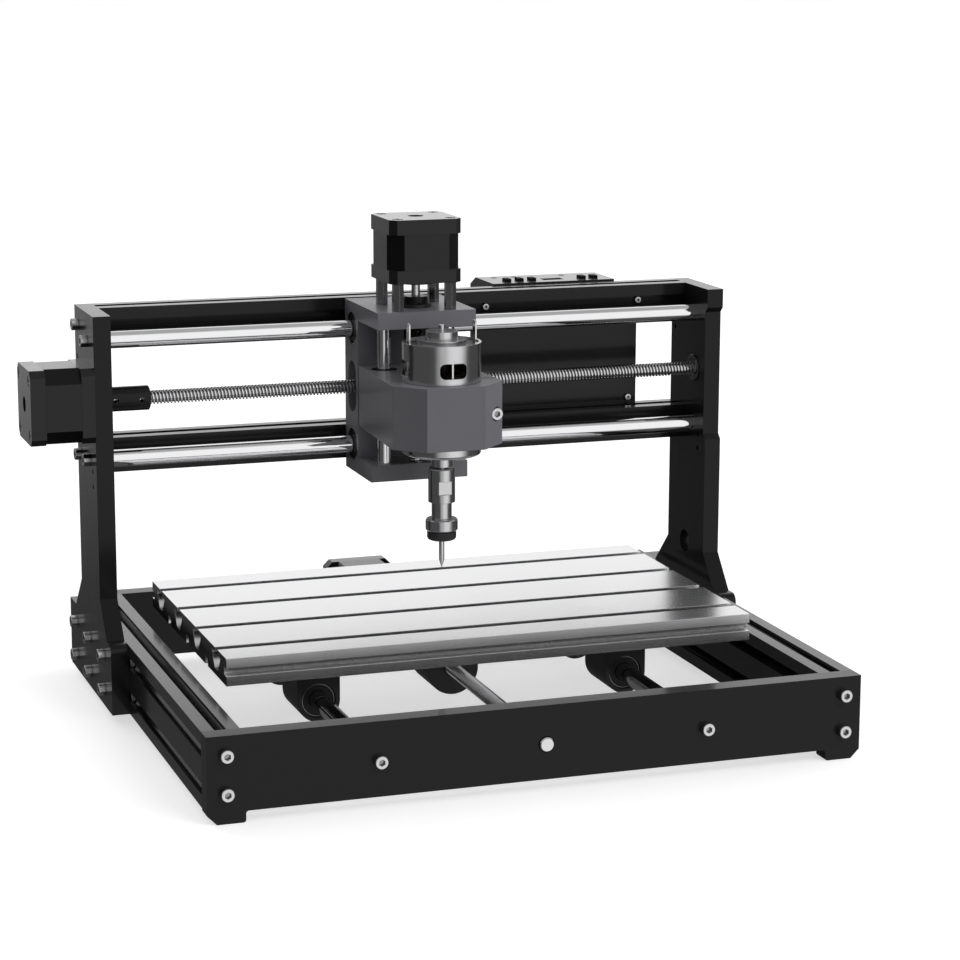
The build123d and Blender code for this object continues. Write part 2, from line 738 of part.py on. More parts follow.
def spindle_holder():
    """Spindle block: a split clamp around the spindle motor, with bores for the Z guides."""
    right = [
        (holder_front_half_width, holder_front),
        (holder_half_width, holder_front + holder_chamfer),
        (carriage_width / 2, holder_back),
    ]
    left = [(-x, y) for x, y in reversed(right)]
    outline = Polygon(*right, *left, align=None)
    outline -= Pos(0, spindle_y) * Circle(can_radius + seat_fit)
    outline -= Pos(holder_half_width, spindle_y) * Rectangle(2 * holder_half_width - can_radius, clamp_slit)
    body = Pos(carriage_center, 0, holder_bottom) * extrude(outline, amount=holder_height)
    for x in z_rod_places:
        body -= bore(z_rod_radius + 1, (x, z_axis_y, holder_bottom), UP, holder_height)
        body -= bore(7.5 + seat_fit, (x, z_axis_y, holder_top), DOWN, 24)
    body -= bore(11 + seat_fit, (carriage_center, z_axis_y, holder_bottom), UP, 3.5)
    body -= bore(5.1 + seat_fit, (carriage_center, z_axis_y, holder_bottom), UP, holder_height)
    body -= bore(coupling_radius + 1, (carriage_center, z_axis_y, holder_top), DOWN, 11)
    x, y, z = clamp_screw_seat()
    body -= bore(4, (x, y, z), FRONT, y - holder_front)
    body -= bore(2 + seat_fit, (x, y, z), BACK, 30.2)
    return body - bore(2 + hole_fit, (x, y, z), BACK, spindle_y - y)


def z_linear_bearings():
    """The two bearings on the Z rods, flush with the block's top."""
    bearing = linear_bearing(7.5, z_rod_radius, 24)
    return [Pos(x, z_axis_y, holder_top - 24) * bearing for x in z_rod_places]


def z_nut():
    """Nut on the Z lead screw, flush with the block's underside."""
    return place(lead_nut(), (carriage_center, z_axis_y, holder_bottom), DOWN)


def clamp_screw():
    """Screw that closes the spindle clamp."""
    return [place(cap_screw(4, 30), clamp_screw_seat(), FRONT)]


# ------------------------------------------------------------------ spindle, built on its own axis
can_top = can_bottom + can_length
can_bore_radius = can_radius - can_wall
boss_length = 7.0
boss_radius = 6.35
magnet_radius = 18.8
magnet_top = can_bottom + 44
window_width = 15.5
window_height = 8.5
window_corner = 3.0
window_bottom = can_top - 17.3
terminal_reach = 19.3
terminal_width = 4.8
terminal_thickness = 0.8
chuck_top = can_bottom - boss_length - 1
chuck_radius = 7.6
chuck_neck_radius = 5.7
chuck_shoulder = chuck_top - 19.3
chuck_bottom = chuck_shoulder - 15.7
flat_distance = 6.64
nut_top = chuck_bottom + 6
nut_step = chuck_bottom - 0.7
nut_bottom = chuck_bottom - 6.2
nut_radius = 9.1
nut_knurl_radius = 8.25
collet_radius = 4.5
bit_radius = 1.5875
bit_cone_start = 89.2
bit_tip = 84.5


def spindle_bore(radius, low, high):
    """Round cutter on the spindle's axis."""
    return Pos(0, 0, low) * cylinder(radius, high - low)


def spindle_can():
    """Spindle motor can with four cooling windows and its lower bearing boss."""
    body = spindle_bore(can_radius, can_bottom, can_top)
    body = fillet(body.edges().group_by(Axis.Z)[0], 2)
    body += spindle_bore(boss_radius, can_bottom - boss_length, can_bottom)
    body -= spindle_bore(spindle_shaft_radius + running_fit, can_bottom - boss_length, can_top)
    body -= spindle_bore(magnet_radius, can_bottom + 2.5, can_top)
    body -= spindle_bore(can_bore_radius, magnet_top, can_top)
    window = Pos(0, window_bottom + window_height / 2) * RectangleRounded(window_width, window_height, window_corner)
    reach = can_radius + 1
    body -= extrude_back(window, -reach, 2 * reach)
    body -= extrude_right(window, -reach, 2 * reach)
    rim = tube(can_radius, can_radius - can_wall, can_rim_height)
    return body + Pos(0, 0, can_top) * rim


def spindle_end_bell():
    """End bell with its stepped cap."""
    body = spindle_bore(can_bore_radius - seat_fit, can_top - 3, can_top)
    body += spindle_bore(14.2, can_top, can_top + 2.3)
    body += spindle_bore(9, can_top + 2.3, can_top + 6.8)
    for side in BOTH:
        middle = side * terminal_reach
        half_thickness = terminal_thickness / 2 + seat_fit
        half_width = terminal_width / 2 + seat_fit
        slot = block((middle - half_thickness, middle + half_thickness),
                     (-half_width, half_width), (can_top - 3, can_top))
        body -= slot
    return body - spindle_bore(1.9 + running_fit, can_top - 3, can_top + 6.8)


def spindle_terminals():
    """The two blade terminals."""
    blades = []
    for side in BOTH:
        middle = side * terminal_reach
        half = terminal_thickness / 2
        blade = block((middle - half, middle + half), (-terminal_width / 2, terminal_width / 2),
                      (can_top - 6, can_top + 11.8))
        blade = chamfer(blade.edges().filter_by(Axis.X).group_by(Axis.Z)[-1], 1)
        blades.append(blade - bore(0.8, (middle - 1, 0, can_top + 9), RIGHT, 2))
    return blades


def spindle_armature():
    """Armature with its commutator and stepped shaft."""
    body = spindle_bore(spindle_shaft_radius, chuck_shoulder + 1.5, can_top - 3.5)
    body += spindle_bore(18.3, can_bottom + 6, magnet_top - 2)
    body += spindle_bore(6, magnet_top, magnet_top + 11)
    return body + spindle_bore(1.9, can_top - 3.5, can_top + 10)


def collet_chuck():
    """Chuck on the spindle shaft, with two wrench flats and a tapered seat for the collet."""
    body = spindle_bore(chuck_radius, chuck_shoulder, chuck_top)
    body += spindle_bore(chuck_neck_radius, chuck_bottom, chuck_shoulder)
    body = chamfer(body.edges().filter_by(GeomType.CIRCLE).group_by(Axis.Z)[-1], 0.6)
    flat = (chuck_shoulder + 4.8, chuck_shoulder + 12.3)
    for side in BOTH:
        depth = sorted((side * flat_distance, side * (chuck_radius + 1)))
        body -= block((-chuck_radius, chuck_radius), depth, flat)
    body -= spindle_bore(spindle_shaft_radius + seat_fit, chuck_shoulder + 1.4, chuck_top)
    return body - Pos(0, 0, chuck_bottom) * cone(collet_radius + seat_fit, 2.85, 12.1)


def collet():
    """Spring collet with a taper at each end."""
    body = Pos(0, 0, chuck_bottom) * cone(collet_radius, 2.8, 12)
    body += spindle_bore(collet_radius, chuck_bottom - 2.5, chuck_bottom)
    body += Pos(0, 0, chuck_bottom - 5.5) * cone(3, collet_radius, 3)
    return body - spindle_bore(bit_radius + seat_fit, chuck_bottom - 5.5, chuck_bottom + 12)


def collet_nut():
    """Nut over the collet: a smooth collar above a narrower grip with a rounded nose."""
    grip = spindle_bore(nut_knurl_radius, nut_bottom, nut_step)
    grip = fillet(grip.edges().group_by(Axis.Z)[0], 1.6)
    collar = spindle_bore(nut_radius, nut_step, nut_top)
    collar = chamfer(collar.edges().filter_by(GeomType.CIRCLE), 0.6)
    body = grip + collar
    body -= spindle_bore(chuck_neck_radius + seat_fit, chuck_bottom - 0.05, nut_top)
    body -= spindle_bore(collet_radius + seat_fit, chuck_bottom - 2.5, chuck_bottom)
    body -= Pos(0, 0, chuck_bottom - 5.5) * cone(3 + seat_fit, collet_radius + seat_fit, 3)
    return body - spindle_bore(3 + seat_fit, nut_bottom, chuck_bottom - 5.5)


def engraving_bit():
    """Engraving bit with a straight shank and a pointed end."""
    body = spindle_bore(bit_radius, bit_cone_start, chuck_bottom + 11.9)
    return body + Pos(0, 0, bit_tip) * cone(0.15, bit_radius, bit_cone_start - bit_tip)


def on_spindle_axis(shapes):
    """Carry shapes built on the spindle's own axis to where the spindle sits at rest."""
    return [Pos(carriage_center, spindle_y, 0) * shape for shape in shapes]


# ------------------------------------------------------------------ control box
box_plate_left = 50.0
box_plate_right = box_plate_left + box_plate_width
box_plate_front = upright_back
box_plate_back = box_plate_front + box_plate_thickness
box_left = box_center - box_width / 2
box_right = box_center + box_width / 2
box_back = box_plate_back + box_depth
box_screw_x = (box_plate_left + 3.4, box_plate_right - 5.5)
box_screw_low = lower_beam_height + profile_size / 2 + 3
box_plugs = (-26.5, -18.5, -10.5, 21.8, 29.5)
box_plug_width = 4.0
box_plug_rise = 1.5            # plug sockets stand above the cover's top
box_socket = 2.6
box_socket_width = 13.0
box_socket_sink = 3.0          # the wide socket lies below the cover's top
box_lamps = (-29.5, -16.5, 14.5)
box_lamp_width = 3.5
box_lamp_sink = 0.3
board_front = box_plate_back + 6
board_back = board_front + 1.6
port_depth = 7.0
lamp_y = board_back + 17


def box_ports():
    """Span in X and in Y of every opening in the control box's top, and how high its connector reaches."""
    rows = [(offset, box_plug_width, board_back, port_depth, box_plug_rise) for offset in box_plugs]
    rows += [(box_socket, box_socket_width, board_back, port_depth, -box_socket_sink)]
    rows += [(offset, box_lamp_width, lamp_y, box_lamp_width, -box_lamp_sink) for offset in box_lamps]
    ports = []
    for offset, width, front, depth, rise in rows:
        middle = box_center + offset
        ports.append(((middle - width / 2, middle + width / 2), (front, front + depth), box_top + rise))
    return ports


def board_posts():
    """Centres of the four posts that carry the circuit board."""
    return [(box_center + x * (box_width / 2 - 8), z) for x in BOTH for z in (box_bottom + 12, box_top - 20)]


def control_box_base():
    """Mounting plate of the control box, with posts for the circuit board."""
    x_span = (box_plate_left, box_plate_right)
    body = block(x_span, (box_plate_front, box_plate_back), (box_plate_bottom, box_plate_top))
    for x, z in board_posts():
        body += bore(3, (x, box_plate_back, z), BACK, board_front - box_plate_back)
        body += bore(1.2, (x, box_plate_back, z), BACK, board_back - box_plate_back + 1)
    for x in box_screw_x:
        for z in (box_screw_low, upper_beam_height):
            body -= bore(box_screw_hole, (x, box_plate_front, z), BACK, box_plate_thickness)
    return body


def control_box_cover():
    """Folded cover with side flanges, a sloped rear edge and openings in its top."""
    outline = Polygon(
        (box_plate_back, box_bottom),
        (box_back, box_bottom),
        (box_back, box_top - box_chamfer_height),
        (box_back - box_chamfer_depth, box_top),
        (box_plate_back, box_top),
        align=None,
    )
    shell = extrude_right(outline, box_left, box_width)
    inside = offset(outline, -box_wall) + Pos(box_plate_back + box_wall, (box_bottom + box_top) / 2) \
        * Rectangle(2 * box_wall, box_top - box_bottom - 2 * box_wall)
    shell -= extrude_right(inside, box_left + box_wall, box_width - 2 * box_wall)
    flange_z = (box_bottom, box_plate_top)
    shell += block((box_plate_left + 1, box_left), (box_plate_back, box_plate_back + box_wall), flange_z)
    shell += block((box_right, box_plate_right - 1), (box_plate_back, box_plate_back + box_wall), flange_z)
    for x in box_screw_x:
        for z in (box_screw_low, upper_beam_height):
            shell -= bore(box_screw_hole, (x, box_plate_back, z), BACK, box_wall)
    for x_span, y_span, _ in box_ports():
        shell -= block(x_span, y_span, (box_top - box_wall, box_top))
    return shell


def controller_board():
    """Circuit board with a connector under every opening of the cover."""
    gap = 0.2
    x_span = (box_left + 4, box_right - 4)
    body = block(x_span, (board_front, board_back), (box_bottom + 6, box_top - 6))
    for x, z in board_posts():
        body -= bore(1.2 + seat_fit, (x, board_front, z), BACK, board_back - board_front)
    under_top = box_top - box_wall - gap
    for (left, right), (front, back), top in box_ports():
        column = (left + gap, right - gap)
        low = min(under_top, top)
        body += block(column, (board_back, back - gap), (box_top - 15, low))
        if top > under_top:
            body += block(column, (front + gap, back - gap), (under_top, top))
    return body


def control_box_screws():
    """Screws of the control box with their nuts. The upper pair runs through the top beam."""
    fasteners = []
    nut_front = box_plate_back + box_wall
    beam_slot_floor = beam_y - profile_size / 2 + slot_depth
    for x in box_screw_x:
        for z, head in ((upper_beam_height, beam_slot_floor), (box_screw_low, box_plate_front)):
            screw = cap_screw(box_screw, nut_front + 1.1 * box_screw - head)
            fasteners.append(place(screw, (x, head, z), FRONT))
            fasteners.append(place(hex_nut(box_screw), (x, nut_front, z), BACK))
    return fasteners


def top_beam():
    """Upper beam, drilled across for the control box screws."""
    body = beam(upper_beam_height)
    for x in box_screw_x:
        body -= bore(box_screw_hole, (x, beam_y - profile_size / 2, upper_beam_height), BACK, profile_size)
    return body


# ------------------------------------------------------------------ every piece by name
motor_pieces = {axis: {kind: at_motor(axis, shapes) for kind, shapes in stepper().items()} for axis in motors}
x_joint, x_thread = at_motor("x", drive_line(2 * upright_outer + screw_end_overhang))
y_joint, y_thread = at_motor("y", drive_line(base_depth + screw_end_overhang))
z_joint, z_thread = at_motor("z", drive_line(z_motor_face - lower_lug_top + 8.5))
frame_motor_screws = motor_pieces["x"]["bolts"] + motor_pieces["y"]["bolts"]
frame_motor_screws += at_motor("x", stepper_mount_screws(upright_thickness))
frame_motor_screws += at_motor("y", stepper_mount_screws(plate_thickness))

parts = {
    "front_plate": [front_plate()],
    "back_plate": [back_plate()],
    "left_rail": [rail(-1)],
    "right_rail": [rail(1)],
    "cap_screws": frame_screws(),
    "t_nuts": rail_nuts(),
    "y_rod_left": [y_rod(-1)],
    "y_rod_right": [y_rod(1)],
    "left_upright": [left_upright()],
    "right_upright": [right_upright()],
    "top_beam": [top_beam()],
    "bottom_beam": [beam(lower_beam_height)],
    "x_rod_bottom": [x_rod(x_rod_heights[0])],
    "x_rod_top": [x_rod(x_rod_heights[1])],
    "x_motor_stator": motor_pieces["x"]["stator"],
    "x_motor_end_caps": motor_pieces["x"]["caps"],
    "y_motor_stator": motor_pieces["y"]["stator"],
    "y_motor_end_caps": motor_pieces["y"]["caps"],
    "stepper_screws": frame_motor_screws,
    "screw_end_bearings": screw_end_bearings(),
    "control_box_base": [control_box_base()],
    "control_box_cover": [control_box_cover()],
    "controller_board": [controller_board()],
    "control_box_screws": control_box_screws(),
    "x_lead_screw": [x_thread],
    "x_coupling": [x_joint],
    "x_motor_rotor": motor_pieces["x"]["rotor"],
    "y_lead_screw": [y_thread],
    "y_coupling": [y_joint],
    "y_motor_rotor": motor_pieces["y"]["rotor"],
    "table_plate": [table_plate()],
    "y_sliders": y_sliders(),
    "y_linear_bearings": y_linear_bearings(),
    "y_nut_seat": [y_nut_seat()],
    "y_nut": [y_nut()],
    "table_screws": table_screws(),
    "carriage_body": [carriage_body()],
    "x_linear_bearings": x_linear_bearings(),
    "x_nut": [x_nut()],
    "z_rods": z_rods(),
    "z_standoffs": z_standoffs(),
    "z_motor_stator": motor_pieces["z"]["stator"],
    "z_motor_end_caps": motor_pieces["z"]["caps"],
    "z_motor_screws": motor_pieces["z"]["bolts"],
    "z_top_bearing": [z_top_bearing()],
    "spindle_holder": [spindle_holder()],
    "z_linear_bearings": z_linear_bearings(),
    "z_nut": [z_nut()],
    "clamp_screw": clamp_screw(),
    "spindle_can": on_spindle_axis([spindle_can()]),
    "spindle_end_bell": on_spindle_axis([spindle_end_bell()]),
    "spindle_terminals": on_spindle_axis(spindle_terminals()),
    "z_lead_screw": [z_thread],
    "z_coupling": [z_joint],
    "z_motor_rotor": motor_pieces["z"]["rotor"],
    "spindle_armature": on_spindle_axis([spindle_armature()]),
    "collet_chuck": on_spindle_axis([collet_chuck()]),
    "collet": on_spindle_axis([collet()]),
    "collet_nut": on_spindle_axis([collet_nut()]),
    "engraving_bit": on_spindle_axis([engraving_bit()]),
}

# ------------------------------------------------------------------ origin and files
whole = Compound([solid for solids in parts.values() for solid in solids]).bounding_box()
origin = Pos(-(whole.min.X + whole.max.X) / 2, -(whole.min.Y + whole.max.Y) / 2, -whole.min.Z)

os.makedirs("parts", exist_ok=True)
for name, solids in parts.items():
    placed = [origin * solid for solid in solids]
    shape = placed[0] if len(placed) == 1 else Compound(placed)
    shape.label = name
    export_step(shape, f"parts/{name}.step")
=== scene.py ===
import json
import math

import bmesh
import bpy
from mathutils import Matrix, Vector


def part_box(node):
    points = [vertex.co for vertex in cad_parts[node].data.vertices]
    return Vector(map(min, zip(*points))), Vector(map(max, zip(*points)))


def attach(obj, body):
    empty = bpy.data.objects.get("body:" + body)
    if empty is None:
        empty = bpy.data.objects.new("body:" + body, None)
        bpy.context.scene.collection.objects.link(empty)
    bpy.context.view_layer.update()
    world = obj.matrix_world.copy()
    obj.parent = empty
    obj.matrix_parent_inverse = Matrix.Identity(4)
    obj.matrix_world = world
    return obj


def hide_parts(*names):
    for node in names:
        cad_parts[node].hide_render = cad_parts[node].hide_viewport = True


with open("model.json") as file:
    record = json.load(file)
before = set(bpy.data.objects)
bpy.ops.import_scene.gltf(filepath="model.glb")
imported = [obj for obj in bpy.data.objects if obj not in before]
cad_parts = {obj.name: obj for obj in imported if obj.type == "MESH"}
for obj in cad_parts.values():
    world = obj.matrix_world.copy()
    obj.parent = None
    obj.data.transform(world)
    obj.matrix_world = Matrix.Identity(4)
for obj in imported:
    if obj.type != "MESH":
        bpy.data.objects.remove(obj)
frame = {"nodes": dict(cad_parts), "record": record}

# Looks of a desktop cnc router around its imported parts. Lengths are in metres.
MM = 0.001
X = Vector((1, 0, 0))
Y = Vector((0, 1, 0))
Z = Vector((0, 0, 1))
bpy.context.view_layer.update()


# ------------------------------------------------------------------ camera
def make_camera():
    """Camera at the photograph's viewing angle."""
    place = Vector((-0.45936, -1.44247, 0.44449))
    yaw = math.radians(19.05)
    pitch = math.radians(-11.67)
    roll = math.radians(0.16)
    forward = Vector((math.sin(yaw) * math.cos(pitch),
                      math.cos(yaw) * math.cos(pitch),
                      math.sin(pitch)))
    level = Vector((math.cos(yaw), -math.sin(yaw), 0))
    upright = level.cross(forward)
    right = math.cos(roll) * level + math.sin(roll) * upright
    up = -math.sin(roll) * level + math.cos(roll) * upright
    data = bpy.data.cameras.new("camera")
    data.sensor_width = 36
    data.lens = 102.37
    data.clip_start = 0.05
    data.clip_end = 50
    camera = bpy.data.objects.new("camera", data)
    turn = Matrix((right, up, -forward)).transposed().to_4x4()
    camera.matrix_world = Matrix.Translation(place) @ turn
    bpy.context.scene.collection.objects.link(camera)
    bpy.context.scene.camera = camera


make_camera()


# ------------------------------------------------------------------ shader nodes
# Sockets of the Mix node in colour mode, whose names repeat those of its other modes.
MIX_FACTOR, MIX_FIRST, MIX_SECOND, MIX_RESULT = 0, 6, 7, 2


def add_node(tree, kind, **values):
    """New shader node with the given properties and input values set."""
    node = tree.nodes.new(kind)
    for key, value in values.items():
        if hasattr(node, key):
            setattr(node, key, value)
        else:
            node.inputs[key.replace("_", " ")].default_value = value
    return node


def feed(tree, socket, source):
    """Links a socket to another node's output, or sets it to a value."""
    if isinstance(source, bpy.types.NodeSocket):
        tree.links.new(source, socket)
    else:
        socket.default_value = source


def compute(tree, operation, *operands):
    """Result of a math operation on outputs or numbers."""
    node = add_node(tree, "ShaderNodeMath", operation=operation)
    for socket, operand in zip(node.inputs, operands):
        feed(tree, socket, operand)
    return node.outputs[0]


def dot(tree, vector, weights):
    """Dot product of an output and a fixed vector."""
    node = add_node(tree, "ShaderNodeVectorMath", operation="DOT_PRODUCT")
    feed(tree, node.inputs[0], vector)
    feed(tree, node.inputs[1], weights)
    return node.outputs["Value"]


def ramp(tree, value, given, made, interpolation="LINEAR"):
    """Maps a value from one (low, high) range to another, and holds it at the ends."""
    node = add_node(tree, "ShaderNodeMapRange", interpolation_type=interpolation)
    feed(tree, node.inputs["Value"], value)
    for socket, number in zip(("From Min", "From Max", "To Min", "To Max"), (*given, *made)):
        feed(tree, node.inputs[socket], number)
    return node.outputs["Result"]


def mix_colors(tree, factor, first, second, blend_type="MIX"):
    """Blend of two colours, each an output or a value, by a factor."""
    node = add_node(tree, "ShaderNodeMix", data_type="RGBA", blend_type=blend_type)
    for index, source in ((MIX_FACTOR, factor), (MIX_FIRST, first), (MIX_SECOND, second)):
        feed(tree, node.inputs[index], source)
    return node.outputs[MIX_RESULT]


# ------------------------------------------------------------------ materials
COAT_ROUGHNESS = 0.12
COAT_IOR = 1.26
MOTTLE_SCALE = 45
# Detail and roughness of the two noises, and the span that they mostly keep to.
MOTTLE_DETAIL = (5.0, 0.6)
GRAIN_DETAIL = (3.0, 0.55)
NOISE_SPAN = (0.3, 0.7)
GRAIN_STRENGTH = 0.6
RIDGE_STRENGTH = 0.5
RIDGE_HEIGHT = 0.08 * MM
# Radians that the Wave texture turns by per unit of its scale.
WAVE_TURN = 20
# Rays of the nodes that look around a point.
RAY_SAMPLES = 4
# Shares of open sky at which a hollow is wholly dark and not dark at all.
OPEN_SKY_SPAN = (0.25, 0.75)


def shade(color, factor):
    """A colour made lighter or darker."""
    return (*[min(1, part * factor) for part in color], 1)


def noise(tree, place, scale, detail):
    """Noise with a (detail, roughness) pair."""
    layers, roughness = detail
    node = add_node(tree, "ShaderNodeTexNoise", Scale=scale, Detail=layers, Roughness=roughness)
    feed(tree, node.inputs["Vector"], place)
    return node.outputs["Fac"]


def darken(tree, color, mask, amount):
    """Multiplies a colour by an amount where a 0 to 1 mask is 1."""
    return mix_colors(tree, mask, color, (amount, amount, amount, 1), "MULTIPLY")


def facing_shade_mask(tree, normal, weights, limit):
    """1 on the faces whose absolute normal, weighted by axis, adds up to more than a limit."""
    size = add_node(tree, "ShaderNodeVectorMath", operation="ABSOLUTE")
    feed(tree, size.inputs[0], normal)
    return compute(tree, "GREATER_THAN", dot(tree, size.outputs["Vector"], weights), limit)


def recess_shade_mask(tree, reach):
    """1 deep inside slots, sockets and thread roots, the hollows that are darkened as painted
    shade.
    """
    open_sky = add_node(tree, "ShaderNodeAmbientOcclusion", samples=RAY_SAMPLES,
                        Distance=reach * MM)
    return ramp(tree, open_sky.outputs["AO"], OPEN_SKY_SPAN, (1, 0))


def relief(tree, place, fine, depth, edge, lines):
    """Normal bent by the grain, by softened edges and by evenly spaced ridges."""
    bump = add_node(tree, "ShaderNodeBump", Strength=GRAIN_STRENGTH, Distance=depth * MM)
    feed(tree, bump.inputs["Height"], fine)
    if edge:
        corner = add_node(tree, "ShaderNodeBevel", samples=RAY_SAMPLES, Radius=edge * MM)
        feed(tree, bump.inputs["Normal"], corner.outputs["Normal"])
    if not lines:
        return bump.outputs["Normal"]
    axis, pitch = lines
    wave = add_node(tree, "ShaderNodeTexWave", wave_type="BANDS", bands_direction=axis,
                    Scale=2 * math.pi / (WAVE_TURN * pitch * MM))
    feed(tree, wave.inputs["Vector"], place)
    ridge = add_node(tree, "ShaderNodeBump", Strength=RIDGE_STRENGTH, Distance=RIDGE_HEIGHT)
    feed(tree, ridge.inputs["Height"], wave.outputs["Fac"])
    feed(tree, ridge.inputs["Normal"], bump.outputs["Normal"])
    return ridge.outputs["Normal"]


def finish(name, color, metallic=0.0, roughness=0.4, spread=0.15, mottle=0.08,
           stretch=(1, 1, 1), grain=2500, depth=0.02, edge=0.35, lines=None, coat=0.0,
           specular=0.5, facing_shade=None, recess_shade=None):
    """Procedural surface with mottled colour and gloss, a fine grain and softened edges.

    Spread and mottle are the shares by which gloss and colour vary. Grain is the scale of the
    fine noise, which stretch pulls into brushing or turning marks, and depth is its relief. Edge
    is the radius of the softened edges. Lines holds the axis and pitch of evenly spaced ridges.
    Facing holds the weights and limit of the facing mask and the amount by which those faces are
    darkened as painted shade.
    Recess holds the reach of the recess mask and the amount by which hollows are darkened as
    painted shade.
    Depth, edge, pitch and reach are in millimetres."""
    material = bpy.data.materials.new(name)
    material.use_nodes = True
    material.diffuse_color = (*color, 1)
    tree = material.node_tree
    shader = tree.nodes["Principled BSDF"]
    shader.inputs["Metallic"].default_value = metallic
    shader.inputs["Specular IOR Level"].default_value = specular
    shader.inputs["Coat Weight"].default_value = coat
    shader.inputs["Coat Roughness"].default_value = COAT_ROUGHNESS
    shader.inputs["Coat IOR"].default_value = COAT_IOR

    coordinates = add_node(tree, "ShaderNodeTexCoord").outputs
    place = coordinates["Object"]
    mapping = add_node(tree, "ShaderNodeMapping", Scale=stretch)
    feed(tree, mapping.inputs["Vector"], place)
    broad = noise(tree, place, MOTTLE_SCALE, MOTTLE_DETAIL)
    fine = noise(tree, mapping.outputs["Vector"], grain, GRAIN_DETAIL)

    painted = mix_colors(tree, broad, shade(color, 1 - mottle), shade(color, 1 + mottle))
    # Faces picked by their direction are darkened as painted shade.
    if facing_shade:
        weights, limit, amount = facing_shade
        faces = facing_shade_mask(tree, coordinates["Normal"], weights, limit)
        painted = darken(tree, painted, faces, amount)
    # Hollows are darkened as painted shade.
    if recess_shade:
        reach, amount = recess_shade
        painted = darken(tree, painted, recess_shade_mask(tree, reach), amount)
    feed(tree, shader.inputs["Base Color"], painted)

    average = compute(tree, "MULTIPLY_ADD", fine, 0.5, compute(tree, "MULTIPLY", broad, 0.5))
    glossy = (roughness * (1 - spread), roughness * (1 + spread))
    feed(tree, shader.inputs["Roughness"], ramp(tree, average, NOISE_SPAN, glossy))
    feed(tree, shader.inputs["Normal"], relief(tree, place, fine, depth, edge, lines))
    return material


# Grain pulled along an axis, or around one.
DRAWN_X = (0.05, 1, 1)
DRAWN_Y = (1, 0.05, 1)
DRAWN_Z = (1, 1, 0.04)
BRUSHED_X = (0.012, 1, 1)
TURNED = (0.15, 0.15, 1)
# Faces darkened by their direction as painted shade: the slanted corners of the motors, and the
# ends of the table.
SHADED_CORNERS = ((1, 1, 1), 1.3, 0.2)
SHADED_TABLE_ENDS = ((1, 0, 0), 0.9, 0.16)
